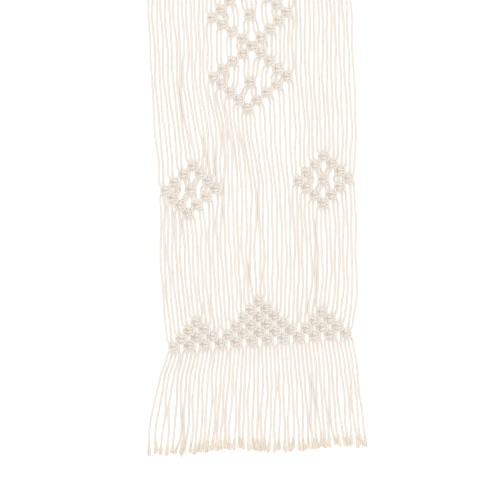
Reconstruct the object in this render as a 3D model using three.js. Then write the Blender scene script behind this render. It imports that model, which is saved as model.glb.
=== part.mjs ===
// A macrame table runner: 48 lengths of cotton cord, each running from the fringe at one end to the
// fringe at the other, held together by nothing but square knots. Every knot takes four neighbouring
// cords: the two in the middle are its core, and the two outer ones are worked round them, the left
// one over the back and the right one over the front.
//
// Millimetres. X runs across the runner, Y along it and Z up. The runner lies flat with its underside
// on Z = 0 and its middle knot over the origin. "Reach" is the distance from the middle row towards
// the near end (-Y). The far half is the near half turned half a turn about Z.
import * as THREE from "three";

// Cord
const CORD_DIAMETER = 4;
const CORD_GAP = 2.25; // between free cords, on average
const CORD_COUNT = 48;
const CORDS_PER_KNOT = 4;

// Square knot
const KNOT_HEIGHT = 2.3 * CORD_DIAMETER;
const KNOT_ROW_GAP = 2.4; // between one row of knots and the next
const KNOT_HALF_WIDTH = 1.5 * CORD_DIAMETER; // of the band that a worker makes across the core
const BAND_THICKNESS = 0.58 * CORD_DIAMETER;
const SIDE_CLEARANCE = 0.1875 * CORD_DIAMETER; // between cords side by side in a knot
const LAYER_CLEARANCE = 0.2875 * CORD_DIAMETER; // between the core and the worker over or under it

// Lengths along the runner
const CHAIN_TO_SIDE = 81; // from the chain's last knot to the side diamonds' first row
const SIDE_TO_BAND = 140; // from the side diamonds' last row to the top of the end band
const FRINGE_LENGTH = 166;
const TRIM_WAVE = 3; // how unevenly the fringe is cut
const FRAY_LENGTH = 12; // of each cord's untwisted end
const FRAY_HALF_WIDTH = 0.62 * CORD_DIAMETER;
const RELAX_LENGTH = 3.75 * CORD_DIAMETER; // in which a cord that leaves a knot comes down onto the table
const SHORT_SPAN = 60; // between knots, with one station in its middle
const LANE_BLEND = 70; // in which a free cord leaves the line between its knots

// Rows of knots from a motif's middle row to its last one
const CHAIN_ROWS = 4;
const SIDE_ROWS = 3;
const BAND_PEAKS = [
  { column: 2.5, rows: 3 },
  { column: 6.5, rows: 5 },
  { column: 10.5, rows: 3 },
];
const BAND_TOP_ROWS = Math.max(...BAND_PEAKS.map((peak) => peak.rows));
const COLUMNS = CORD_COUNT / CORDS_PER_KNOT;
const MIDDLE_COLUMN = (COLUMNS + 1) / 2;

// Derived sizes
const CORD_SIDE = (CORD_DIAMETER * Math.sqrt(Math.PI)) / 2; // square section with a round cord's area
const CORD_PITCH = CORD_DIAMETER + CORD_GAP;
const ROW_PITCH = KNOT_HEIGHT + KNOT_ROW_GAP;
const CORE_OFFSET = (CORD_SIDE + SIDE_CLEARANCE) / 2;
const WORKER_OFFSET = CORE_OFFSET + CORD_SIDE + SIDE_CLEARANCE;
const SIDE_REACH = (3 * CHAIN_ROWS + SIDE_ROWS) * ROW_PITCH + CHAIN_TO_SIDE;
const BAND_REACH = SIDE_REACH + (SIDE_ROWS + BAND_TOP_ROWS) * ROW_PITCH + SIDE_TO_BAND;
const FRINGE_REACH = BAND_REACH + FRINGE_LENGTH;

// Heights of the three layers in a knot, and of a cord that lies on the table
const ON_TABLE = { low: 0, high: CORD_SIDE };
const BACK = { low: 0, high: BAND_THICKNESS };
const CORE = layerOn(BACK, CORD_SIDE);
const FRONT = layerOn(CORE, BAND_THICKNESS);

// How each motif lies: x of its middle in cord pitches, how much wider than CORD_GAP its gaps are, tilt
// of its rows (reach per unit of x) and lean of its columns (x per unit of reach).
const MIDDLE_DIAMOND = { column: MIDDLE_COLUMN, x: 0, reach: 0, spread: 0.75, tilt: -0.049, lean: 0.06 };
const LOWER_DIAMOND = {
  column: MIDDLE_COLUMN,
  x: -0.416,
  reach: 2 * CHAIN_ROWS * ROW_PITCH,
  spread: 0.6,
  tilt: 0.03,
  lean: -0.116,
};
const LEFT_DIAMOND = {
  column: 2.5,
  x: -15.52,
  reach: SIDE_REACH + 4,
  spread: 0,
  tilt: -0.01,
  lean: -0.15,
};
const RIGHT_DIAMOND = {
  column: 10.5,
  x: 16.4,
  reach: SIDE_REACH - 5,
  spread: -0.05,
  tilt: -0.01,
  lean: -0.05,
};
const END_BAND = {
  column: MIDDLE_COLUMN,
  x: 0,
  reach: BAND_REACH,
  spread: -0.375,
  tilt: -0.05,
  lean: 0,
};
const LOWER_CENTRE_DROP = 8; // the lower diamond's centre knot hangs below its middle row

// Where the free cords lie at a few rows: pairs of cord number and x in cord pitches.
const LANES = [
  { reach: 0, at: [[1, -24.5], [14.5, -10.7], [34.5, 10.7], [48, 24.5]] },
  { reach: CHAIN_ROWS * ROW_PITCH, at: [[1, -24], [14.5, -10.6], [34.5, 10.5], [48, 24.3]] },
  { reach: 2 * CHAIN_ROWS * ROW_PITCH, at: [[1, -23.9], [14.5, -11.3], [34.5, 10.2], [48, 24.3]] },
  {
    reach: SIDE_REACH - CHAIN_TO_SIDE,
    at: [[1, -23.7], [6, -17.8], [14.5, -9.5], [24.5, -1.2], [34.5, 10.6], [48, 24.6]],
  },
  {
    reach: SIDE_REACH - SIDE_ROWS * ROW_PITCH - RELAX_LENGTH,
    at: [[1, -23.3], [6, -17.8], [11, -12.3], [24.5, -0.6], [38, 14], [43, 19.3], [48, 24.6]],
  },
  { reach: SIDE_REACH, at: [[1, -22.4], [16.5, -7.9], [32.5, 8.6], [48, 24.2]] },
  { reach: SIDE_REACH + SIDE_TO_BAND * 0.7, at: [[1, -23.3], [16.5, -8.2], [32.5, 8.4], [48, 23.6]] },
  { reach: BAND_REACH - FRINGE_LENGTH * 0.2, at: [[1, -22.8], [16.5, -7.7], [32.5, 7.9], [48, 23.7]] },
  { reach: BAND_REACH, at: [[1, -22.6], [16.5, -7.5], [32.5, 7.5], [48, 22.6]] },
  { reach: BAND_REACH + FRINGE_LENGTH * 0.4, at: [[1, -24.6], [16.5, -8.4], [32.5, 8], [48, 23.2]] },
  { reach: FRINGE_REACH, at: [[1, -27.2], [16.5, -9.8], [32.5, 7.9], [48, 25.1]] },
];

// The same rows on both halves, from far to near
const LANE_REACHES = LANES.map((row) => row.reach);
const NEAR_HEIGHTS = LANE_REACHES.map((reach) => -reach);
const LANE_HEIGHTS = [...LANE_REACHES.slice(1).reverse(), ...NEAR_HEIGHTS];

const material = new THREE.MeshStandardMaterial({ color: 0xe9dfcf, roughness: 0.92, metalness: 0 });

function layerOn(layer, thickness) {
  const low = layer.high + LAYER_CLEARANCE;
  return { low, high: low + thickness };
}

function knotAt(motif, column, row) {
  const pitch = CORDS_PER_KNOT * (CORD_PITCH + motif.spread);
  const across = (column - motif.column) * pitch;
  const along = row * ROW_PITCH;
  return {
    first: CORDS_PER_KNOT * (column - 1) + 1,
    x: motif.x * CORD_PITCH + across + motif.lean * along,
    reach: motif.reach + along + motif.tilt * across,
  };
}

// The knots on a diamond's outline between two rows.
function outline(motif, rows, fromRow, toRow) {
  const knots = [];
  for (let row = fromRow; row <= toRow; row += 1) {
    const half = (rows - Math.abs(row)) / 2;
    knots.push(knotAt(motif, motif.column - half, row));
    if (half > 0) {
      knots.push(knotAt(motif, motif.column + half, row));
    }
  }
  return knots;
}

function sideDiamond(motif) {
  return [...outline(motif, SIDE_ROWS, -SIDE_ROWS, SIDE_ROWS), knotAt(motif, motif.column, 0)];
}

function lowerDiamond() {
  const centre = knotAt(LOWER_DIAMOND, MIDDLE_COLUMN, 0);
  centre.reach += LOWER_CENTRE_DROP;
  return [...outline(LOWER_DIAMOND, CHAIN_ROWS, 1 - CHAIN_ROWS, CHAIN_ROWS), centre];
}

// The end band: three peaks of solid knotting that share one full row at the fringe.
function endBand() {
  const knots = [];
  for (let row = 0; row <= BAND_TOP_ROWS; row += 1) {
    const start = row % 2 === 0 ? 1 : 1.5;
    for (let column = start; column <= COLUMNS; column += 1) {
      const inPeak = (peak) => Math.abs(column - peak.column) <= (peak.rows - row) / 2;
      if (BAND_PEAKS.some(inPeak)) {
        knots.push(knotAt(END_BAND, column, -row));
      }
    }
  }
  return knots;
}

// The knots whose reach is above zero. The middle row is added once, by allKnots.
function nearKnots() {
  return [
    ...outline(MIDDLE_DIAMOND, CHAIN_ROWS, 1, CHAIN_ROWS),
    ...lowerDiamond(),
    ...sideDiamond(LEFT_DIAMOND),
    ...sideDiamond(RIGHT_DIAMOND),
    ...endBand(),
  ];
}

function allKnots() {
  const middle = [
    ...outline(MIDDLE_DIAMOND, CHAIN_ROWS, 0, 0),
    knotAt(MIDDLE_DIAMOND, MIDDLE_COLUMN, 0),
  ];
  const near = [...middle, ...nearKnots()].map((knot) => ({
    first: knot.first,
    x: knot.x,
    y: -knot.reach,
  }));
  const far = nearKnots().map((knot) => ({
    first: CORD_COUNT + 2 - CORDS_PER_KNOT - knot.first,
    x: -knot.x,
    y: knot.reach,
  }));
  return [...near, ...far];
}

function smooth(value) {
  const t = THREE.MathUtils.clamp(value, 0, 1);
  return t * t * (3 - 2 * t);
}

// x of cord number `cord` in one row of LANES
function acrossRow(row, cord) {
  const next = row.at.findIndex(([number]) => number >= cord);
  const [endCord, endX] = row.at[Math.max(next, 1)];
  const [startCord, startX] = row.at[Math.max(next, 1) - 1];
  return CORD_PITCH * THREE.MathUtils.mapLinear(cord, startCord, endCord, startX, endX);
}

function nearLane(cord, reach) {
  const next = LANES.findIndex((row) => row.reach >= reach);
  if (next === 0) {
    return acrossRow(LANES[0], cord);
  }
  const end = next < 0 ? LANES[LANES.length - 1] : LANES[next];
  const start = LANES[LANES.indexOf(end) - 1];
  const share = (reach - start.reach) / (end.reach - start.reach);
  return THREE.MathUtils.lerp(acrossRow(start, cord), acrossRow(end, cord), share);
}

function lane(cord, y) {
  return y <= 0 ? nearLane(cord, -y) : -nearLane(CORD_COUNT + 1 - cord, y);
}

// How far cord number `cord` reaches at the near end
function tipReach(cord) {
  return FRINGE_REACH + TRIM_WAVE * Math.sin(cord * 0.26) + TRIM_WAVE * 0.5 * Math.sin(cord * 2.1);
}

function station(x, y, layer, halfWidth) {
  return { x, y, low: layer.low, high: layer.high, halfWidth };
}

// A cord's stations through one knot, from far to near. `place` is 0 to 3 from the left.
function throughKnot(knot, place) {
  if (place === 1 || place === 2) {
    const side = place === 1 ? -1 : 1;
    return [station(knot.x + side * CORE_OFFSET, knot.y, CORE, CORD_SIDE / 2)];
  }
  const layer = place === 0 ? BACK : FRONT;
  const x = knot.x + (place === 0 ? -WORKER_OFFSET : WORKER_OFFSET);
  return [
    station(x, knot.y + KNOT_HEIGHT / 2, layer, CORD_SIDE / 2),
    station(knot.x, knot.y, layer, KNOT_HALF_WIDTH),
    station(x, knot.y - KNOT_HEIGHT / 2, layer, CORD_SIDE / 2),
  ];
}

// Where a cord would pass a knot's height if its four cords lay evenly side by side
function homeX(knot, place) {
  return knot.x + (place - (CORDS_PER_KNOT - 1) / 2) * CORD_PITCH;
}

// The heights of the stations between two knots: none between neighbours, one in the middle of a
// short span, and on a long one where the cord has come down from each knot and at the rows of LANES
// between.
function freeHeights(from, to) {
  const span = from - to;
  if (span < 1.5 * ROW_PITCH) {
    return [];
  }
  if (span < SHORT_SPAN) {
    return [(from + to) / 2];
  }
  const start = from - RELAX_LENGTH;
  const end = to + RELAX_LENGTH;
  const between = LANE_HEIGHTS.filter((y) => start - y > RELAX_LENGTH && y - end > RELAX_LENGTH);
  return [start, ...between, end];
}

function betweenKnots(cord, above, below) {
  return freeHeights(above.y, below.y).map((y) => {
    const share = (above.y - y) / (above.y - below.y);
    const straight = THREE.MathUtils.lerp(above.x, below.x, share);
    const nearest = Math.min(above.y - y, y - below.y);
    const x = THREE.MathUtils.lerp(straight, lane(cord, y), smooth(nearest / LANE_BLEND));
    const raised = Math.sqrt(Math.max(0, 1 - nearest / RELAX_LENGTH)) * CORE.low;
    const layer = { low: raised, high: raised + CORD_SIDE };
    return station(x, y, layer, CORD_SIDE / 2);
  });
}

// From the last knot to the tip. `side` is -1 at the near end and 1 at the far one.
function fringe(cord, knot, side) {
  const tip = side < 0 ? -tipReach(cord) : tipReach(CORD_COUNT + 1 - cord);
  const heights = [knot.y + side * RELAX_LENGTH, tip - side * FRAY_LENGTH];
  const stations = heights.map((y) => {
    const share = smooth(Math.abs(y - knot.y) / LANE_BLEND);
    return station(THREE.MathUtils.lerp(knot.x, lane(cord, y), share), y, ON_TABLE, CORD_SIDE / 2);
  });
  const frayed = { low: 0, high: BAND_THICKNESS };
  stations.push(station(lane(cord, tip), tip, frayed, FRAY_HALF_WIDTH));
  return stations;
}

function route(cord, knots) {
  const held = knots
    .filter((knot) => cord >= knot.first && cord < knot.first + CORDS_PER_KNOT)
    .sort((a, b) => b.y - a.y)
    .map((knot) => ({ knot, place: cord - knot.first, x: homeX(knot, cord - knot.first), y: knot.y }));
  const stations = fringe(cord, held[0], 1).reverse();
  held.forEach((hold, number) => {
    if (number > 0) {
      stations.push(...betweenKnots(cord, held[number - 1], hold));
    }
    stations.push(...throughKnot(hold.knot, hold.place));
  });
  stations.push(...fringe(cord, held[held.length - 1], -1));
  return stations;
}

// A closed four-sided tube through the stations, which run from +Y to -Y.
function cordGeometry(stations) {
  const corners = stations.flatMap((s) => [
    [s.x - s.halfWidth, s.y, s.low],
    [s.x + s.halfWidth, s.y, s.low],
    [s.x + s.halfWidth, s.y, s.high],
    [s.x - s.halfWidth, s.y, s.high],
  ]);
  const faces = [0, 2, 1, 0, 3, 2];
  const last = corners.length - 4;
  faces.push(last, last + 1, last + 2, last, last + 2, last + 3);
  for (let start = 0; start < last; start += 4) {
    for (let side = 0; side < 4; side += 1) {
      const a = start + side;
      const b = start + ((side + 1) % 4);
      faces.push(a, b, b + 4, a, b + 4, a + 4);
    }
  }
  const geometry = new THREE.BufferGeometry();
  geometry.setAttribute("position", new THREE.Float32BufferAttribute(corners.flat(), 3));
  geometry.setIndex(faces);
  geometry.computeVertexNormals();
  return geometry;
}

const runner = new THREE.Group();
const knots = allKnots();
for (let cord = 1; cord <= CORD_COUNT; cord += 1) {
  const mesh = new THREE.Mesh(cordGeometry(route(cord, knots)), material.clone());
  mesh.name = `cord_${String(cord).padStart(2, "0")}`;
  runner.add(mesh);
}

export default runner;
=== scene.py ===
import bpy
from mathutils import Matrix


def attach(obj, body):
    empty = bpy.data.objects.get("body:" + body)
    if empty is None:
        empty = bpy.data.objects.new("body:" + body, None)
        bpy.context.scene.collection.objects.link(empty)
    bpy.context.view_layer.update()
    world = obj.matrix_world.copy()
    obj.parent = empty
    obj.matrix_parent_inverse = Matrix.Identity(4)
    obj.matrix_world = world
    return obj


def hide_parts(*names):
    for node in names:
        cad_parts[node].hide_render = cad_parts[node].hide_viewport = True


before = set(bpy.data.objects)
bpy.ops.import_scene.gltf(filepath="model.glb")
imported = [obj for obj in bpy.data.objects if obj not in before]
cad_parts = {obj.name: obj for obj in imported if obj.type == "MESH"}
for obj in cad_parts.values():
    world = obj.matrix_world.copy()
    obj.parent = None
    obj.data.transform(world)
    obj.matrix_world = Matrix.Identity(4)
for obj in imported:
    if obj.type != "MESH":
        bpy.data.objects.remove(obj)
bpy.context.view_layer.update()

# A macrame table runner: 48 lengths of three-ply cotton cord, each one running from fringe to
# fringe, held by square knots alone. Metres, X across, Y along, Z up, lying on Z = 0 with the
# middle knot over the origin. "Reach" is the distance from the middle row towards the near end.
import math

import bpy
import numpy as np

MM = 0.001

# Cord
CORD_DIAMETER = 4 * MM
CORD_GAP = 2.25 * MM
CORD_PITCH = CORD_DIAMETER + CORD_GAP
CORD_COUNT = 48
CORDS_PER_KNOT = 4
CORD_RADIUS = CORD_DIAMETER / 2
PLIES = 3
LAY = 13.8 * MM  # length in which the plies turn once round
RING_STEP = 1.3 * MM  # between the rings of a cord's mesh
END_RINGS = 4  # rings at a cord's end that give its direction there

# Knots
KNOT_HEIGHT = 2.3 * CORD_DIAMETER
KNOT_ROW_GAP = 2.4 * MM  # between one row of knots and the next
ROW_PITCH = KNOT_HEIGHT + KNOT_ROW_GAP
KNOT_MIDDLE = 5.85 * MM  # height of a knot's core over the table

# Lengths along the runner
CHAIN_TO_SIDE = 81 * MM  # from the chain's last knot to the side diamonds' first row
SIDE_TO_BAND = 140 * MM  # from the side diamonds' last row to the top of the end band
FRINGE_LENGTH = 166 * MM
FRAY_LENGTH = 17 * MM
TRIM_WAVE = 3 * MM  # how far the fringe's trim waves to each side
TRIM_WAVE_RATE = 0.26  # radians from one cord to the next
TRIM_RIPPLE = 0.5  # a smaller wave on the trim, as a share of the first one
TRIM_RIPPLE_RATE = 2.1
CHAIN_ROWS = 4  # from a middle diamond's centre to its tip
SIDE_ROWS = 3
BAND_PEAKS = ((2.5, 3), (6.5, 5), (10.5, 3))  # column and rows of each peak
BAND_TOP_ROWS = max(rows for _, rows in BAND_PEAKS)
COLUMNS = CORD_COUNT // CORDS_PER_KNOT
MIDDLE_COLUMN = (COLUMNS + 1) / 2
# The chain ends with the second diamond, three half diamonds from the middle
SIDE_REACH = (3 * CHAIN_ROWS + SIDE_ROWS) * ROW_PITCH + CHAIN_TO_SIDE
BAND_REACH = SIDE_REACH + (SIDE_ROWS + BAND_TOP_ROWS) * ROW_PITCH + SIDE_TO_BAND
FRINGE_REACH = BAND_REACH + FRINGE_LENGTH

# Free cords
RELAX_LENGTH = 15 * MM  # in which a cord that leaves a knot comes down onto the table
FREE_START = 0.75 * RELAX_LENGTH  # from a knot to the first free point of its cords
STRAY_START = 0.5 * RELAX_LENGTH  # from a knot to where its cords begin to stray
BRIDGE_LENGTH = 1.2 * ROW_PITCH  # the cords between knots nearer than this need no point
LANE_BLEND = 70 * MM  # in which a cord that leaves a knot takes up its lane
FRINGE_BLEND = 45 * MM  # the same in the fringe
LANE_ROUNDING = 12 * MM  # how far the corners of a lane are rounded
FREE_STEP = 6 * MM
WANDER_ONSET = 2.5  # how many times sooner than it loosens a cord wanders in full
GATHER_ONSET = 4  # how many times sooner than it loosens a cord is gathered in full
FRINGE_WANDER = 1.4  # how many times more a cord wanders in the fringe
WANDER = 0.8 * MM
# Size, radians per metre, radians per cord and start of the waves by which free cords wander
SHARED_WAVES = ((0.7, 27, 0.35, 0), (0.5, 17, -0.6, 1))
OWN_WAVES = ((0.6, 62, 2.4, 0), (0.2, 118, 5.3, 0))


class Motif:
    """Where a group of knots lies: its middle, the gap between its cords, and how it is skewed.
    The tilt is how much its reach grows with x, and the lean how much its x grows with reach."""

    def __init__(self, column, x, reach, gap, tilt, lean):
        self.column = column
        self.x = x * MM
        self.reach = reach
        self.pitch = CORDS_PER_KNOT * (CORD_DIAMETER + gap * MM)
        self.tilt = tilt
        self.lean = lean


MIDDLE_DIAMOND = Motif(MIDDLE_COLUMN, x=0, reach=0, gap=3, tilt=-0.049, lean=0.06)
LOWER_DIAMOND = Motif(
    MIDDLE_COLUMN, x=-2.6, reach=2 * CHAIN_ROWS * ROW_PITCH, gap=2.85, tilt=0.03, lean=-0.116
)
LEFT_DIAMOND = Motif(2.5, x=-97, reach=SIDE_REACH + 4 * MM, gap=2.25, tilt=-0.01, lean=-0.15)
RIGHT_DIAMOND = Motif(10.5, x=102.5, reach=SIDE_REACH - 5 * MM, gap=2.2, tilt=-0.01, lean=-0.05)
END_BAND = Motif(MIDDLE_COLUMN, x=0, reach=BAND_REACH, gap=1.875, tilt=-0.05, lean=0)
LOWER_CENTRE_DROP = 8 * MM  # the lower diamond's centre knot hangs below its middle row

# Where the free cords lie at a few reaches: pairs of cord number and x in cord pitches
LANES = (
    (0, ((1, -24.5), (14.5, -10.7), (34.5, 10.7), (48, 24.5))),
    (CHAIN_ROWS * ROW_PITCH, ((1, -24), (14.5, -10.6), (34.5, 10.5), (48, 24.3))),
    (2 * CHAIN_ROWS * ROW_PITCH, ((1, -23.9), (14.5, -11.3), (34.5, 10.2), (48, 24.3))),
    (
        SIDE_REACH - CHAIN_TO_SIDE,
        ((1, -23.7), (6, -17.8), (14.5, -9.5), (24.5, -1.2), (34.5, 10.6), (48, 24.6)),
    ),
    (
        SIDE_REACH - SIDE_ROWS * ROW_PITCH - RELAX_LENGTH,
        ((1, -23.3), (6, -17.8), (11, -12.3), (24.5, -0.6), (38, 14), (43, 19.3), (48, 24.6)),
    ),
    (SIDE_REACH, ((1, -22.4), (16.5, -7.9), (32.5, 8.6), (48, 24.2))),
    (SIDE_REACH + SIDE_TO_BAND * 0.7, ((1, -23.3), (16.5, -8.2), (32.5, 8.4), (48, 23.6))),
    (BAND_REACH - FRINGE_LENGTH * 0.2, ((1, -22.8), (16.5, -7.7), (32.5, 7.9), (48, 23.7))),
    (BAND_REACH, ((1, -22.6), (16.5, -7.5), (32.5, 7.5), (48, 22.6))),
    (BAND_REACH + FRINGE_LENGTH * 0.4, ((1, -24.6), (16.5, -8.4), (32.5, 8), (48, 23.2))),
    (
        FRINGE_REACH - 30 * MM,
        ((1, -27.9), (3, -24.2), (6, -19.4), (16.5, -9.6), (32.5, 7.9), (48, 24.2)),
    ),
    (FRINGE_REACH, ((1, -27.2), (3, -24.7), (6, -20.8), (16.5, -9.8), (32.5, 7.9), (48, 25.1))),
)

# Places where free cords have been drawn together or pushed apart: x, reach, half their length and
# how far they draw the cords, all in millimetres
GATHERS = (
    (-107.6, 106, 36, 2.6),
    (-75, 200, 17, 2.6),
    (-84, 188, 15, -1.8),
    (-40, 156, 18, 2.4),
    (3.5, 286, 24, 3),
    (88, 340, 20, 2.4),
    (-29.6, 353, 16, 2.2),
    (-12.5, 382, 12, 2),
    (-2.4, 370.6, 24, -2.6),
    (4.5, 390, 12, 2.4),
    (87, 391, 20, 2.6),
    (-132, 560, 30, -1.6),
    (-143, 592, 12, 2.2),
    (-121, 612, 18, 1.4),
    (-92, 640, 24, 1.2),
    (-66, 570, 20, 1.3),
    (-47, 606, 20, -1.5),
    (-30, 586, 18, 1.4),
    (-6, 618, 20, 1.3),
    (22, 560, 18, 1.3),
    (36, 622, 20, 1.5),
    (60, 590, 20, -1.4),
    (78, 566, 16, 1.5),
    (98, 612, 18, 1.5),
    (119, 586, 22, -1.8),
    (133, 560, 18, 1.4),
)
GATHER_HALF_WIDTH = 6 * MM


# ---- The pattern of knots ---------------------------------------------------------------------


def knot_at(motif, column, row):
    """(first cord, x, reach) of a motif's knot. The rows count from its middle one."""
    across = (column - motif.column) * motif.pitch
    along = row * ROW_PITCH
    first = int(CORDS_PER_KNOT * (column - 1) + 1)
    x = motif.x + across + motif.lean * along
    return first, x, motif.reach + along + motif.tilt * across


def outline(motif, rows, from_row, to_row):
    """The knots on a diamond's outline between two rows."""
    knots = []
    for row in range(from_row, to_row + 1):
        half = (rows - abs(row)) / 2
        knots.append(knot_at(motif, motif.column - half, row))
        if half > 0:
            knots.append(knot_at(motif, motif.column + half, row))
    return knots


def side_diamond(motif):
    return outline(motif, SIDE_ROWS, -SIDE_ROWS, SIDE_ROWS) + [knot_at(motif, motif.column, 0)]


def lower_diamond():
    first, x, reach = knot_at(LOWER_DIAMOND, MIDDLE_COLUMN, 0)
    centre = (first, x, reach + LOWER_CENTRE_DROP)
    return outline(LOWER_DIAMOND, CHAIN_ROWS, 1 - CHAIN_ROWS, CHAIN_ROWS) + [centre]


def end_band():
    """Three peaks of solid knotting that share one full row at the fringe."""
    knots = []
    for row in range(BAND_TOP_ROWS + 1):
        start = 1 + (row % 2) / 2
        for step in range(COLUMNS):
            column = start + step
            in_peak = any(abs(column - peak) <= (rows - row) / 2 for peak, rows in BAND_PEAKS)
            if column <= COLUMNS and in_peak:
                knots.append(knot_at(END_BAND, column, -row))
    return knots


def all_knots():
    """(first cord, x, y) of every knot. The far half is the near half turned half a turn."""
    middle = outline(MIDDLE_DIAMOND, CHAIN_ROWS, 0, 0)
    middle.append(knot_at(MIDDLE_DIAMOND, MIDDLE_COLUMN, 0))
    near = outline(MIDDLE_DIAMOND, CHAIN_ROWS, 1, CHAIN_ROWS) + lower_diamond()
    near += side_diamond(LEFT_DIAMOND) + side_diamond(RIGHT_DIAMOND) + end_band()
    knots = [(first, x, -reach) for first, x, reach in middle + near]
    turned = CORD_COUNT + 2 - CORDS_PER_KNOT
    return knots + [(turned - first, -x, reach) for first, x, reach in near]


# ---- A square knot, pulled tight --------------------------------------------------------------

# One worker of a loose knot from its upper end to its middle, in cord diameters, before it is
# mirrored. It passes behind the other worker, over the core, and behind the other worker again.
LOOSE_WORKER = (
    (-2.6, 4.2, -0.2),
    (-2.7, 2.9, -1.1),
    (-2.6, 1.7, -1.4),
    (-2.2, 0.8, -0.5),
    (-1.4, 0.65, 0.8),
    (-0.65, 0.7, 1.3),
    (0.65, 0.8, 1.4),
    (1.7, 1.2, 0.8),
    (2.6, 1.4, -0.2),
    (3.4, 0, -1.1),
)
WORKER_X = -1.62  # of the worker's ends once they are drawn in
CORE_X = -0.5
KNOT_END = 1.45  # half the tied length
WORKER_POINTS = 72
CORE_POINTS = 30
KNOT_DETAIL = 8  # points of the curve between two chosen ones, in a knot
CORD_CONTACT = 0.85  # how close two cords press in a knot, in cord diameters
NEIGHBOUR_POINTS = 9  # points of one cord that are too near along it to count as touching
LEAST_DISTANCE = 1e-6  # keeps a push finite where two points coincide
TIGHTENING_ROUNDS = 520
DRAWN_IN = 0.6  # share of the rounds in which the ends are drawn in
FIRM_SHARE = 0.75  # share of the rounds in which the cords are shortened firmly
FIRM_PULL = 0.3
GENTLE_PULL = 0.08
PUSHES = 4  # in each round
KNOT_NARROWNESS = 0.83  # how much a knot is drawn in from the sides
KNOT_SLACK = 1.3  # how much the two halves of a knot stand apart along the runner
KNOT_FLATNESS = 0.62  # how much a knot is squashed towards its core
HALF_TURN = np.array((-1, 1, -1))  # the right-hand cords are the left-hand ones turned about Y
WORKER_PLACES = (0, CORDS_PER_KNOT - 1)
WORKER_KEPT = 0.95 * KNOT_SLACK  # half the length of a worker that a knot keeps
CORE_KEPT = 1.15 * KNOT_SLACK


def spaced_evenly(points, count):
    """Points at equal steps along the line through the given ones."""
    steps = np.linalg.norm(np.diff(points, axis=0), axis=1)
    along = np.concatenate([[0], np.cumsum(steps)])
    wanted = np.linspace(0, along[-1], count)
    return np.stack([np.interp(wanted, along, points[:, axis]) for axis in range(3)], axis=1)


def rounded(points, between):
    """A Catmull-Rom curve through the points, with so many points from one to the next."""
    points = np.asarray(points, float)
    ends = np.vstack([2 * points[0] - points[1], points, 2 * points[-1] - points[-2]])
    a, b, c, d = ends[:-3], ends[1:-2], ends[2:-1], ends[3:]
    share = np.arange(between)[:, None, None] / between
    curve = 2 * b + (c - a) * share + (2 * a - 5 * b + 4 * c - d) * share**2
    curve = (curve + (3 * b - a - 3 * c + d) * share**3) / 2
    return np.vstack([curve.transpose(1, 0, 2).reshape(-1, 3), points[-1:]])


def loose_knot():
    """A worker of a loose knot and the core cord beside it, as one array of points."""
    upper = np.array(LOOSE_WORKER)
    worker = np.vstack([upper, upper[-2::-1] * (1, -1, 1)])
    core = np.array([(CORE_X, side * upper[0, 1], 0) for side in (1, 0, -1)])
    return np.vstack(
        [
            spaced_evenly(rounded(worker, KNOT_DETAIL), WORKER_POINTS),
            spaced_evenly(rounded(core, KNOT_DETAIL), CORE_POINTS),
        ]
    )


def own_neighbours():
    """Which of all four cords' points are too near along the same cord to touch each point."""
    counts = (WORKER_POINTS, CORE_POINTS) * 2
    cord = np.repeat(np.arange(len(counts)), counts)
    order = np.concatenate([np.arange(count) for count in counts])
    total = WORKER_POINTS + CORE_POINTS
    same = cord[:total, None] == cord[None, :]
    return same & (np.abs(order[:total, None] - order[None, :]) < NEIGHBOUR_POINTS)


def contact_steps(points, skipped):
    """How far each point has to move away from the cords that it touches."""
    both = np.vstack([points, points * HALF_TURN])
    apart = points[:, None, :] - both[None, :, :]
    distance = np.maximum(np.linalg.norm(apart, axis=2), LEAST_DISTANCE)
    touching = (distance < CORD_CONTACT) & ~skipped
    push = np.where(touching, (CORD_CONTACT - distance) / (2 * distance), 0)
    steps = (apart * push[..., None]).sum(axis=1)
    return steps / np.sqrt(np.maximum(touching.sum(axis=1), 1))[:, None]


def tied_knot():
    """The four cords of a tight square knot, left to right, from a loose one whose cords are
    shortened round by round and held apart where they touch."""
    points = loose_knot()
    skipped = own_neighbours()
    total = len(points)
    ends = np.array([0, WORKER_POINTS - 1, WORKER_POINTS, total - 1])
    inner = np.setdiff1d(np.arange(total), ends)
    loose_ends = points[ends].copy()
    tight_ends = np.array([(x, y, 0) for x in (WORKER_X, CORE_X) for y in (KNOT_END, -KNOT_END)])
    for number in range(TIGHTENING_ROUNDS):
        drawn = min(1, number / (DRAWN_IN * TIGHTENING_ROUNDS))
        points[ends] = loose_ends * (1 - drawn) + tight_ends * drawn
        pull = FIRM_PULL if number < FIRM_SHARE * TIGHTENING_ROUNDS else GENTLE_PULL
        points[inner] += pull * ((points[inner - 1] + points[inner + 1]) / 2 - points[inner])
        for _ in range(PUSHES):
            points[inner] += contact_steps(points, skipped)[inner]
    points *= (-KNOT_NARROWNESS, KNOT_SLACK, KNOT_FLATNESS)
    worker, core = points[:WORKER_POINTS], points[WORKER_POINTS:]
    return worker * HALF_TURN, core * HALF_TURN, core, worker


# ---- The route of each cord -------------------------------------------------------------------

ROUTE_DETAIL = 6  # points of the curve between two of a route's own
ROUTE_SMOOTHINGS = 2


def smooth(value):
    share = min(max(value, 0), 1)
    return share * share * (3 - 2 * share)


def across_row(points, cord):
    """x of a cord in one row of LANES."""
    numbers, places = zip(*points)
    return CORD_PITCH * float(np.interp(cord, numbers, places))


def near_lane(cord, reach):
    """x of a free cord's lane in the near half."""
    reaches = [row for row, _ in LANES]
    places = [across_row(points, cord) for _, points in LANES]
    around = (reach - LANE_ROUNDING, reach, reach + LANE_ROUNDING)
    return float(np.mean(np.interp(around, reaches, places)))


def lane(cord, y):
    return near_lane(cord, -y) if y <= 0 else -near_lane(CORD_COUNT + 1 - cord, y)


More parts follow.
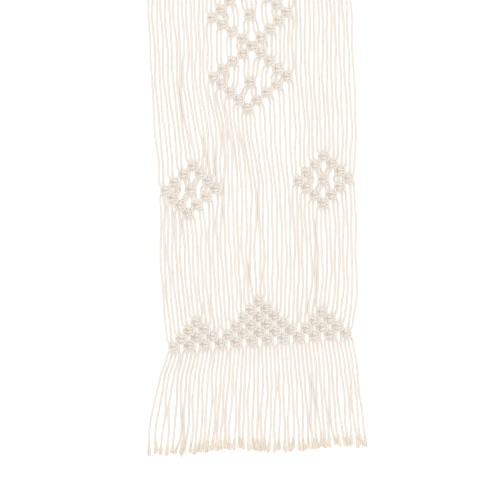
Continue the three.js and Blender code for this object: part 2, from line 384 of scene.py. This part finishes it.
def tip_reach(cord):
    ripple = TRIM_WAVE * TRIM_RIPPLE * math.sin(cord * TRIM_RIPPLE_RATE)
    return FRINGE_REACH + TRIM_WAVE * math.sin(cord * TRIM_WAVE_RATE) + ripple


def waves(table, cord, y):
    return sum(
        size * math.sin(y * along + cord * across + start) for size, along, across, start in table
    )


def wander(cord, y):
    """How a free cord strays from its lane: a slow drift that its neighbours share, and its own."""
    return (waves(SHARED_WAVES, cord, y) + waves(OWN_WAVES, cord, y)) * WANDER


def gathered(x, y):
    """x once the cord has been drawn to or from its neighbours. The far half is turned round."""
    side = 1 if y <= 0 else -1
    shift = 0
    for centre, reach, half_length, draw in GATHERS:
        across = (side * x - centre * MM) / GATHER_HALF_WIDTH
        along = (abs(y) - reach * MM) / (half_length * MM)
        shift -= side * draw * MM * across * math.exp(-(across**2 + along**2) / 2)
    return x + shift


def home_x(knot_x, place):
    """x of a cord at a knot if the knot weren't drawn tight."""
    return knot_x + (place - (CORDS_PER_KNOT - 1) / 2) * CORD_PITCH


def height(nearest):
    """How high a cord's middle lies. Away from its nearest knot it comes down onto the table."""
    return CORD_RADIUS + (KNOT_MIDDLE - CORD_RADIUS) * (1 - smooth(nearest / RELAX_LENGTH))


def free_run(cord, above, below):
    """Points between two holds, each (x at home, y) of a knot."""
    (above_x, above_y), (below_x, below_y) = above, below
    start = above_y - FREE_START
    end = below_y + FREE_START
    if start <= end:
        near = (above_y - below_y) / 2
        middle = ((above_x + below_x) / 2, (above_y + below_y) / 2, height(near))
        return [middle] if near > BRIDGE_LENGTH / 2 else []
    count = max(2, round((start - end) / FREE_STEP) + 1)
    points = []
    for y in np.linspace(start, end, count):
        nearest = min(above_y - y, y - below_y)
        share = (above_y - y) / (above_y - below_y)
        straight = above_x + (below_x - above_x) * share
        loose = smooth((nearest - STRAY_START) / LANE_BLEND)
        x = straight + (lane(cord, y) - straight) * smooth(nearest / LANE_BLEND)
        strayed = gathered(x + wander(cord, y) * min(1, WANDER_ONSET * loose), y)
        points.append((x + (strayed - x) * min(1, GATHER_ONSET * loose), y, height(nearest)))
    return points


def fringe_run(cord, hold, tip_y):
    """Points from the last knot to where the cord frays."""
    x, y = hold
    side = 1 if tip_y > y else -1
    count = round(abs(tip_y - y) / FREE_STEP)
    points = []
    for at in np.linspace(y + side * FREE_START, tip_y, count):
        away = abs(at - y)
        place = x + (lane(cord, at) - x) * smooth(away / FRINGE_BLEND)
        loose = smooth((away - RELAX_LENGTH) / LANE_BLEND)
        strayed = gathered(place + wander(cord, at) * FRINGE_WANDER, at)
        points.append((place + (strayed - place) * loose, at, height(away)))
    return points


def tied_part(template, place, x, y):
    """The stretch of a cord inside one knot, without the ends that only lead into it."""
    kept = np.abs(template[:, 1]) < (WORKER_KEPT if place in WORKER_PLACES else CORE_KEPT)
    first, last = np.argmax(kept), len(kept) - np.argmax(kept[::-1])
    return template[first:last] * CORD_DIAMETER + (x, y, KNOT_MIDDLE)


def route(cord, knots, templates):
    """A cord's centre line from its far tip to its near one."""
    held = [knot for knot in knots if 0 <= cord - knot[0] < CORDS_PER_KNOT]
    held.sort(key=lambda knot: -knot[2])
    places = [cord - first for first, _, _ in held]
    holds = [(home_x(x, place), y) for (_, x, y), place in zip(held, places)]
    far_tip = tip_reach(CORD_COUNT + 1 - cord) - FRAY_LENGTH
    near_tip = -tip_reach(cord) + FRAY_LENGTH
    points = fringe_run(cord, holds[0], far_tip)[::-1]
    for number, ((_, x, y), place) in enumerate(zip(held, places)):
        if number:
            points += free_run(cord, holds[number - 1], holds[number])
        points += list(tied_part(templates[place], place, x, y))
    points += fringe_run(cord, holds[-1], near_tip)
    dense = rounded(points, ROUTE_DETAIL)
    length = np.linalg.norm(np.diff(dense, axis=0), axis=1).sum()
    even = spaced_evenly(dense, int(length / RING_STEP) + 1)
    for _ in range(ROUTE_SMOOTHINGS):
        even[1:-1] = (even[:-2] + 2 * even[1:-1] + even[2:]) / 4
    return even


# ---- Geometry Nodes ---------------------------------------------------------------------------

SECTION_POINTS = 12  # round a cord
GROOVE_DEPTH = 0.26  # of the grooves between the plies, as a share of the radius
GROOVE_SHARPNESS = 1.7
FIBRE_RADIUS = 0.36 * MM
FIBRE_SIDES = 3
MIDDLE_TONE = 0.5


def new_geometry_tree(name, sockets):
    """A tree with its input and output nodes. Each socket is (name, type, value)."""
    tree = bpy.data.node_groups.new(name, "GeometryNodeTree")
    tree.interface.new_socket("Geometry", in_out="INPUT", socket_type="NodeSocketGeometry")
    for label, kind, value in sockets:
        socket = tree.interface.new_socket(label, in_out="INPUT", socket_type=kind)
        if value is not None:
            socket.default_value = value
    tree.interface.new_socket("Geometry", in_out="OUTPUT", socket_type="NodeSocketGeometry")
    return tree, tree.nodes.new("NodeGroupInput"), tree.nodes.new("NodeGroupOutput")


def math_node(tree, operation, first, second=None):
    """The result of a calculation on numbers or sockets."""
    node = tree.nodes.new("ShaderNodeMath")
    node.operation = operation
    for socket, value in zip(node.inputs, (first, second)):
        if isinstance(value, (int, float)):
            socket.default_value = value
        elif value is not None:
            tree.links.new(value, socket)
    return node.outputs[0]


def stored(tree, geometry, name, value):
    node = tree.nodes.new("GeometryNodeStoreNamedAttribute")
    node.data_type = "FLOAT"
    node.domain = "POINT"
    node.inputs["Name"].default_value = name
    tree.links.new(geometry, node.inputs["Geometry"])
    tree.links.new(value, node.inputs["Value"])
    return node.outputs["Geometry"]


def swept(tree, curve, profile, group_input, output):
    """Sweeps a profile along the curves, and finishes the tree."""
    sweep = tree.nodes.new("GeometryNodeCurveToMesh")
    sweep.inputs["Fill Caps"].default_value = True
    tree.links.new(curve, sweep.inputs["Curve"])
    tree.links.new(profile, sweep.inputs["Profile Curve"])
    shade = tree.nodes.new("GeometryNodeSetShadeSmooth")
    tree.links.new(sweep.outputs["Mesh"], shade.inputs["Geometry"])
    realize = tree.nodes.new("GeometryNodeRealizeInstances")
    tree.links.new(shade.outputs["Geometry"], realize.inputs["Geometry"])
    finish = tree.nodes.new("GeometryNodeSetMaterial")
    tree.links.new(realize.outputs["Geometry"], finish.inputs["Geometry"])
    tree.links.new(group_input.outputs["Material"], finish.inputs["Material"])
    tree.links.new(finish.outputs["Geometry"], output.inputs["Geometry"])


def twisted_cord_tree():
    """Sweeps a section with a lobe for each ply along a curve, turned once in each lay."""
    sockets = (
        ("Radius", "NodeSocketFloat", CORD_RADIUS),
        ("Lay", "NodeSocketFloat", LAY),
        ("Groove", "NodeSocketFloat", GROOVE_DEPTH),
        ("Tone", "NodeSocketFloat", MIDDLE_TONE),
        ("Material", "NodeSocketMaterial", None),
    )
    tree, group_input, output = new_geometry_tree("Twisted cord", sockets)
    along = tree.nodes.new("GeometryNodeSplineParameter").outputs["Length"]
    turns = math_node(tree, "DIVIDE", along, group_input.outputs["Lay"])
    tilt = tree.nodes.new("GeometryNodeSetCurveTilt")
    tree.links.new(group_input.outputs["Geometry"], tilt.inputs["Curve"])
    tree.links.new(math_node(tree, "MULTIPLY", turns, 2 * math.pi), tilt.inputs["Tilt"])
    circle = tree.nodes.new("GeometryNodeCurvePrimitiveCircle")
    circle.inputs["Resolution"].default_value = SECTION_POINTS
    tree.links.new(group_input.outputs["Radius"], circle.inputs["Radius"])
    index = tree.nodes.new("GeometryNodeInputIndex").outputs[0]
    angle = math_node(tree, "MULTIPLY", index, 2 * math.pi * PLIES / SECTION_POINTS)
    wave = math_node(tree, "COSINE", angle)
    valley = math_node(tree, "SUBTRACT", 0.5, math_node(tree, "MULTIPLY", wave, 0.5))
    depth = math_node(tree, "POWER", valley, GROOVE_SHARPNESS)
    shrink = math_node(tree, "MULTIPLY", depth, group_input.outputs["Groove"])
    scale = math_node(tree, "SUBTRACT", 1, shrink)
    position = tree.nodes.new("GeometryNodeInputPosition").outputs[0]
    scaled = tree.nodes.new("ShaderNodeVectorMath")
    scaled.operation = "SCALE"
    tree.links.new(position, scaled.inputs[0])
    tree.links.new(scale, scaled.inputs["Scale"])
    lobes = tree.nodes.new("GeometryNodeSetPosition")
    # The depth of the grooves is kept for the painted shade in them
    grooved = stored(tree, circle.outputs["Curve"], "groove", depth)
    tree.links.new(grooved, lobes.inputs["Geometry"])
    tree.links.new(scaled.outputs[0], lobes.inputs["Position"])
    curve = stored(tree, tilt.outputs["Curve"], "tone", group_input.outputs["Tone"])
    swept(tree, curve, lobes.outputs["Geometry"], group_input, output)
    return tree


def fibre_tree():
    """Sweeps a plain section along each fibre."""
    sockets = (
        ("Radius", "NodeSocketFloat", FIBRE_RADIUS),
        ("Tone", "NodeSocketFloat", MIDDLE_TONE),
        ("Material", "NodeSocketMaterial", None),
    )
    tree, group_input, output = new_geometry_tree("Fibres", sockets)
    circle = tree.nodes.new("GeometryNodeCurvePrimitiveCircle")
    circle.inputs["Resolution"].default_value = FIBRE_SIDES
    tree.links.new(group_input.outputs["Radius"], circle.inputs["Radius"])
    curve = stored(tree, group_input.outputs["Geometry"], "tone", group_input.outputs["Tone"])
    swept(tree, curve, circle.outputs["Curve"], group_input, output)
    return tree


def curve_object(name, lines):
    """A curve object of poly splines. Each line is (points, radii)."""
    data = bpy.data.curves.new(name, "CURVE")
    data.dimensions = "3D"
    for points, radii in lines:
        spline = data.splines.new("POLY")
        spline.points.add(len(points) - 1)
        flat = np.column_stack([points, np.ones(len(points))])
        spline.points.foreach_set("co", flat.ravel().astype(np.float32))
        spline.points.foreach_set("radius", np.asarray(radii, np.float32))
    item = bpy.data.objects.new(name, data)
    bpy.context.scene.collection.objects.link(item)
    return item


def baked(item, tree, values):
    """The mesh that the tree makes of this curve object, which is then removed."""
    modifier = item.modifiers.new("Sweep", "NODES")
    modifier.node_group = tree
    for socket in tree.interface.items_tree:
        if socket.in_out == "INPUT" and socket.name in values:
            modifier[socket.identifier] = values[socket.name]
    bpy.context.view_layer.update()
    graph = bpy.context.evaluated_depsgraph_get()
    mesh = bpy.data.meshes.new_from_object(item.evaluated_get(graph), depsgraph=graph)
    bpy.data.objects.remove(item)
    return mesh


# ---- Frayed ends ------------------------------------------------------------------------------

FIBRES_PER_PLY = 18
FIBRE_POINTS = 8
FIBRE_START = 5 * MM  # how far inside the cord a fibre starts
FIBRE_TAPER = 0.5  # a fibre's radius at its tip, as a share of that at its start
LOWEST_FIBRE = 0.4 * MM  # height of the fibres that lie on the table
PLY_OFFSET = 0.5  # from the cord's middle to a ply's, in cord radii
FIBRE_OFFSET = 0.35  # the same from a ply's middle to a fibre
PLY_SPREAD = 2.4 * MM  # how far the plies stand apart at their tips
FIBRE_SPREAD = 2.1 * MM  # how far the fibres of a ply stand apart at their tips
OPENING_POWER = 1.5  # the higher, the nearer to its tip an end opens
TIP_FLATTENING = 0.3  # how much flatter an end lies at its tip
TIP_DROP = 0.25  # how far an end sinks at its tip, in cord radii
# How the ends differ: limits as shares of the usual value, or the spread of a normal draw
PLY_LENGTHS = (0.84, 1.08)
PLY_SPREADS = (0.6, 1.25)
FIBRE_LENGTHS = (0.84, 1.06)
FIBRE_PLACES = 0.45
TUFT_LEAN = 0.9 * MM
FIBRE_CURL = 0.5 * MM


def fibre(end, direction, ply, random):
    """One fibre, from inside the cord to its tip, as points and radii. Its ply is (side, height,
    length, spread, lean)."""
    side, height_in_cord, length, spread, lean = ply
    own_side, own_height = random.normal(0, FIBRE_PLACES, 2)
    reach = length * random.uniform(*FIBRE_LENGTHS)
    curl = random.normal(0, FIBRE_CURL)
    share = np.linspace(0, 1, FIBRE_POINTS)
    opened = share**OPENING_POWER
    packed = CORD_RADIUS * (PLY_OFFSET * side + FIBRE_OFFSET * own_side) * (1 - opened)
    fanned = (spread * side + FIBRE_SPREAD * own_side + lean) * opened
    offset = packed + fanned + curl * np.sin(math.pi * share) * opened
    rise = PLY_OFFSET * height_in_cord + FIBRE_OFFSET * own_height
    lift = CORD_RADIUS * (1 + rise * (1 - TIP_FLATTENING * opened) - TIP_DROP * opened)
    forward = share * (reach + FIBRE_START) - FIBRE_START
    across = (-direction[1], direction[0], 0)
    points = end + np.outer(forward, direction) + np.outer(offset, across)
    points[:, 2] = np.maximum(lift, LOWEST_FIBRE)
    return points, np.linspace(1, FIBRE_TAPER, FIBRE_POINTS)


def tuft(end, direction, length, random):
    """The fibres of one untwisted cord end: loose plies that fan out flat on the table."""
    turn = random.uniform(0, 2 * math.pi)
    lean = random.normal(0, TUFT_LEAN)
    lines = []
    for number in range(PLIES):
        angle = turn + number * 2 * math.pi / PLIES
        ply_length = length * random.uniform(*PLY_LENGTHS)
        ply_spread = PLY_SPREAD * random.uniform(*PLY_SPREADS)
        ply = (math.cos(angle), math.sin(angle), ply_length, ply_spread, lean)
        lines += [fibre(end, direction, ply, random) for _ in range(FIBRES_PER_PLY)]
    return lines


# ---- Materials --------------------------------------------------------------------------------

# Linear colours, light and darker. The darker one gives the painted shade in the grooves between
# the plies, and also the cotton's own darker tone
CORD_COLOURS = ((0.97, 0.93, 0.885), (0.9, 0.815, 0.725))
FRAYED_COLOURS = ((0.99, 0.925, 0.84), (0.97, 0.84, 0.7))
# Painted light: how strongly the frayed fibres emit their darker colour
FRAYED_PAINTED_GLOW = 0.05
COTTON = {
    "Roughness": 0.9,
    "Sheen Weight": 0.25,
    "Sheen Roughness": 0.6,
    "Specular IOR Level": 0.2,
}
FIBRE_RELIEF = {"Distance": 0.25 * MM, "Strength": 0.6}
MOTTLES = {"Scale": 90, "Detail": 3}
FINE_FIBRES = {"Scale": 2600, "Detail": 4}
NOISE_RANGE = (0.3, 0.7)  # where nearly all values of a noise lie
# How much each thing moves the colour from the light one to the darker one. The grooves' share is
# painted shade; the mottling, the fibres and each cord's tone are the cotton's own unevenness
MOTTLE_DARKENING = 0.22
FIBRE_DARKENING = 0.25
# Painted shade: how much darker the cotton is painted in the grooves between the plies
GROOVE_PAINTED_SHADE = 0.55
TONE_DARKENING = 0.3


def set_inputs(node, values):
    for name, value in values.items():
        node.inputs[name].default_value = value


def cotton_group():
    """Colour and height of spun cotton: mottling, fibres, and painted shade in the grooves between
    the plies.
    """
    tree = bpy.data.node_groups.new("Spun cotton", "ShaderNodeTree")
    kinds = {"Light": "Color", "Shade": "Color", "Groove": "Float", "Tone": "Float"}
    for label, kind in kinds.items():
        tree.interface.new_socket(label, in_out="INPUT", socket_type="NodeSocket" + kind)
    tree.interface.new_socket("Colour", in_out="OUTPUT", socket_type="NodeSocketColor")
    tree.interface.new_socket("Height", in_out="OUTPUT", socket_type="NodeSocketFloat")
    group_input, output = tree.nodes.new("NodeGroupInput"), tree.nodes.new("NodeGroupOutput")
    place = tree.nodes.new("ShaderNodeTexCoord").outputs["Object"]

    def noise(values):
        node = tree.nodes.new("ShaderNodeTexNoise")
        set_inputs(node, values)
        tree.links.new(place, node.inputs["Vector"])
        return node.outputs["Fac"]

    def darker_by(value, most):
        node = tree.nodes.new("ShaderNodeMapRange")
        low, high = NOISE_RANGE
        set_inputs(node, {"From Min": low, "From Max": high, "To Min": 0, "To Max": most})
        tree.links.new(value, node.inputs["Value"])
        return node.outputs["Result"]

    mottled = darker_by(noise(MOTTLES), MOTTLE_DARKENING)
    fibres = noise(FINE_FIBRES)
    fine = darker_by(fibres, FIBRE_DARKENING)
    # Painted shade: the colour is darker where the grooves between the plies lie
    groove = math_node(tree, "MULTIPLY", group_input.outputs["Groove"], GROOVE_PAINTED_SHADE)
    tone = math_node(tree, "MULTIPLY", group_input.outputs["Tone"], TONE_DARKENING)
    uneven = math_node(tree, "ADD", math_node(tree, "ADD", mottled, fine), tone)
    unevenness_and_painted_shade = math_node(tree, "ADD", uneven, groove)
    mix = tree.nodes.new("ShaderNodeMix")
    mix.data_type = "RGBA"
    tree.links.new(unevenness_and_painted_shade, mix.inputs["Factor"])
    tree.links.new(group_input.outputs["Light"], mix.inputs["A"])
    tree.links.new(group_input.outputs["Shade"], mix.inputs["B"])
    tree.links.new(mix.outputs["Result"], output.inputs["Colour"])
    tree.links.new(fibres, output.inputs["Height"])
    return tree


def cotton_material(name, group, colours, painted_glow):
    """Matt cotton. The loose fibres also get a little painted light: an emission in the darker
    colour that stands in for light scattering between them.
    """
    light, shade = ((*colour, 1) for colour in colours)
    material = bpy.data.materials.new(name)
    material.use_nodes = True
    tree = material.node_tree
    shader = tree.nodes["Principled BSDF"]
    set_inputs(shader, COTTON)
    # Painted light: an emission in the darker colour, used on the frayed fibres only
    set_inputs(shader, {"Emission Color": shade, "Emission Strength": painted_glow})
    cotton = tree.nodes.new("ShaderNodeGroup")
    cotton.node_tree = group
    set_inputs(cotton, {"Light": light, "Shade": shade})
    for socket, attribute in (("Groove", "groove"), ("Tone", "tone")):
        reader = tree.nodes.new("ShaderNodeAttribute")
        reader.attribute_name = attribute
        tree.links.new(reader.outputs["Fac"], cotton.inputs[socket])
    bump = tree.nodes.new("ShaderNodeBump")
    set_inputs(bump, FIBRE_RELIEF)
    tree.links.new(cotton.outputs["Height"], bump.inputs["Height"])
    tree.links.new(cotton.outputs["Colour"], shader.inputs["Base Color"])
    tree.links.new(bump.outputs["Normal"], shader.inputs["Normal"])
    return material


# ---- The pieces -------------------------------------------------------------------------------

SEED = 48


def joined(name, meshes):
    """One object of several meshes, which keep their materials."""
    items = []
    for mesh in meshes:
        item = bpy.data.objects.new(name, mesh)
        bpy.context.scene.collection.objects.link(item)
        items.append(item)
    with bpy.context.temp_override(active_object=items[0], selected_editable_objects=items):
        bpy.ops.object.join()
    items[0].name = name
    return items[0]


def cord_piece(cord, knots, templates, trees, materials, random):
    """Builds one cord with its frayed ends, and gives its length without them."""
    cord_tree, fray_tree = trees
    cord_cotton, frayed_cotton = materials
    line = route(cord, knots, templates)
    name = f"cotton_cord_{cord:02d}"
    tone = float(random.uniform(0, 1))
    cord_curve = curve_object(name, [(line, np.ones(len(line)))])
    cord_mesh = baked(cord_curve, cord_tree, {"Material": cord_cotton, "Tone": tone})
    far_length = tip_reach(CORD_COUNT + 1 - cord) - abs(line[0, 1])
    near_length = tip_reach(cord) - abs(line[-1, 1])
    far_end = (line[0], line[END_RINGS], far_length)
    near_end = (line[-1], line[-1 - END_RINGS], near_length)
    fibres = []
    for end, inside, length in (far_end, near_end):
        direction = (end - inside) * (1, 1, 0)
        fibres += tuft(end, direction / np.linalg.norm(direction), length, random)
    fray_curve = curve_object(name + "_fray", fibres)
    fibre_mesh = baked(fray_curve, fray_tree, {"Material": frayed_cotton, "Tone": tone})
    piece = joined(name, [cord_mesh, fibre_mesh])
    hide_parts(f"cord_{cord:02d}")
    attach(piece, "root")
    return np.linalg.norm(np.diff(line, axis=0), axis=1).sum()


def build_runner():
    random = np.random.default_rng(SEED)
    knots = all_knots()
    templates = tied_knot()
    trees = (twisted_cord_tree(), fibre_tree())
    group = cotton_group()
    materials = (
        cotton_material("Cotton cord", group, CORD_COLOURS, 0),
        cotton_material("Frayed cotton", group, FRAYED_COLOURS, FRAYED_PAINTED_GLOW),
    )
    lengths = [
        cord_piece(cord, knots, templates, trees, materials, random)
        for cord in range(1, CORD_COUNT + 1)
    ]
    print(f"cord lengths: {min(lengths):.2f} to {max(lengths):.2f} m, {sum(lengths):.1f} m in all")


# ---- Camera, floor and light ------------------------------------------------------------------

FRAME_WIDTH = 0.75  # width of the table that the camera sees
FRAME_CENTRE = (-0.0108, -0.3523)
FRAME_ROLL = math.radians(1.76)
CAMERA_HEIGHT = 6.0
SENSOR_WIDTH = 36
CAMERA_CLIP = 50
FLOOR_HALF = 6
FLOOR = {
    "Base Color": (0.93, 0.925, 0.905, 1),
    "Roughness": 0.9,
    "Specular IOR Level": 0.1,
    "Emission Color": (1, 1, 0.985, 1),
    "Emission Strength": 0.31,
}
SKY = {"Color": (1, 1, 1, 1), "Strength": 0.88}
# Name, place, size and power of each light
LIGHTS = (
    ("Key", (-0.4, 1.5, 2.6), 1.6, 15),
    ("Fill", (0.9, -1.6, 3.0), 2.4, 11),
)


def add_camera():
    data = bpy.data.cameras.new("Camera")
    data.sensor_width = SENSOR_WIDTH
    data.lens = data.sensor_width * CAMERA_HEIGHT / FRAME_WIDTH
    data.clip_end = CAMERA_CLIP
    camera = bpy.data.objects.new("Camera", data)
    camera.location = (*FRAME_CENTRE, CAMERA_HEIGHT)
    camera.rotation_euler = (0, 0, -FRAME_ROLL)
    bpy.context.scene.collection.objects.link(camera)
    bpy.context.scene.camera = camera


def add_floor():
    mesh = bpy.data.meshes.new("Floor")
    half = FLOOR_HALF
    corners = [(-half, -half, 0), (half, -half, 0), (half, half, 0), (-half, half, 0)]
    mesh.from_pydata(corners, [], [(0, 1, 2, 3)])
    floor = bpy.data.objects.new("Floor", mesh)
    bpy.context.scene.collection.objects.link(floor)
    material = bpy.data.materials.new("Floor")
    material.use_nodes = True
    set_inputs(material.node_tree.nodes["Principled BSDF"], FLOOR)
    mesh.materials.append(material)


def add_area_light(name, location, size, power):
    """A square light that faces the middle of the runner."""
    data = bpy.data.lights.new(name, "AREA")
    data.shape = "SQUARE"
    data.size = size
    data.energy = power
    light = bpy.data.objects.new(name, data)
    light.location = location
    light.rotation_euler = (
        math.atan2(math.hypot(location[0], location[1]), location[2]),
        0,
        math.atan2(location[1], location[0]) + math.pi / 2,
    )
    bpy.context.scene.collection.objects.link(light)


def add_lights():
    world = bpy.data.worlds.new("World")
    bpy.context.scene.world = world
    world.use_nodes = True
    set_inputs(world.node_tree.nodes["Background"], SKY)
    for light in LIGHTS:
        add_area_light(*light)
    bpy.context.scene.view_settings.view_transform = "Standard"


add_camera()
build_runner()
add_floor()
add_lights()
